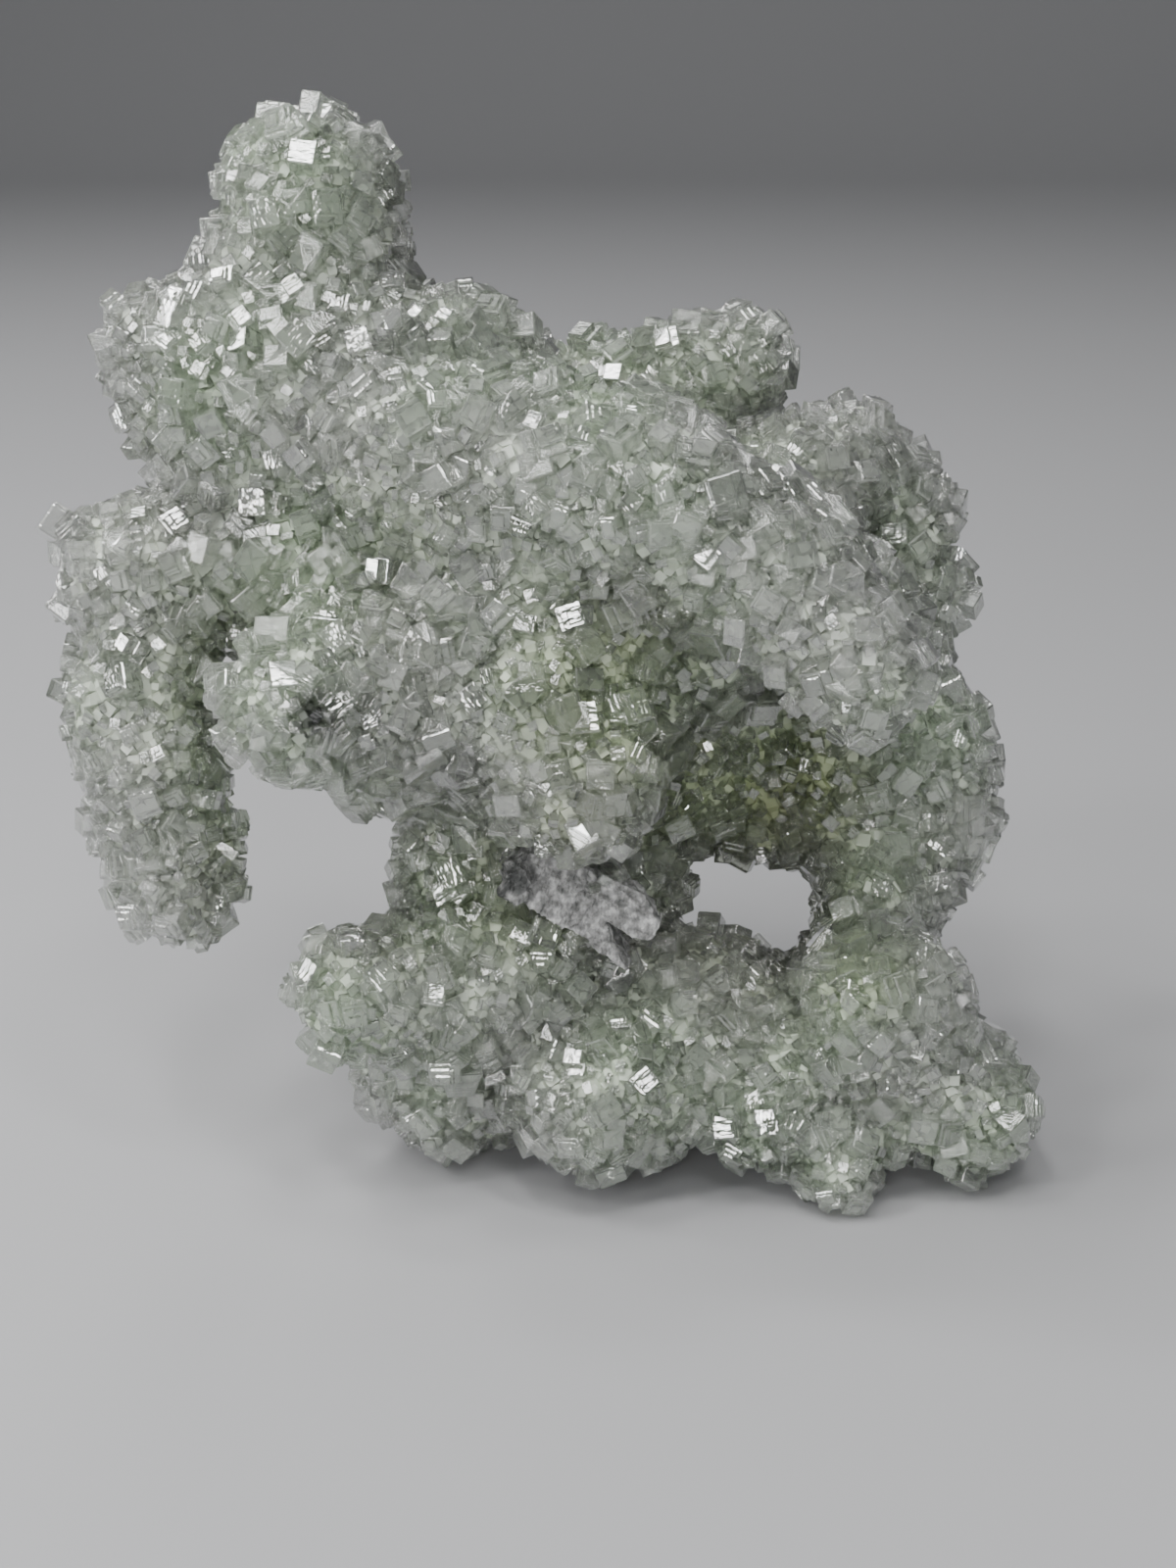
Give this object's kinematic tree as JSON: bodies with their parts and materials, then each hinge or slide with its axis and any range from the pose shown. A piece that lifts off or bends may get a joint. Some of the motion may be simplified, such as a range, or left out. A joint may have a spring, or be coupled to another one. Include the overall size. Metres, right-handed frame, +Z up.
{
  "type": "prehnite pseudomorph",
  "caption": "Coral-like mineral specimen: stubby rounded prehnite fingers crusted with small square crystals, with one grey flake, standing free.",
  "frame": {"origin": "centre of the bounding box's bottom face, on the surface that the specimen stands on", "axes": "+Z up, -Y towards the viewer of the face shown, +X to the viewer's right"},
  "size_m": [0.0823, 0.0501, 0.0861],
  "materials": {
    "prehnite": "glassy, translucent",
    "grey_stone": "mottled, semi-gloss on its cleavage"
  },
  "bodies": {
    "root": {"trunk": "prehnite", "tower": "prehnite", "drooping_finger": "prehnite", "ridge_finger": "prehnite", "snout_finger": "prehnite", "right_column": "prehnite", "back_right_finger": "prehnite", "back_top_finger": "prehnite", "left_foot": "prehnite", "front_foot": "prehnite", "right_foot": "prehnite", "rear_foot": "prehnite", "grey_flake": "grey_stone"}
  },
  "joints": []
}
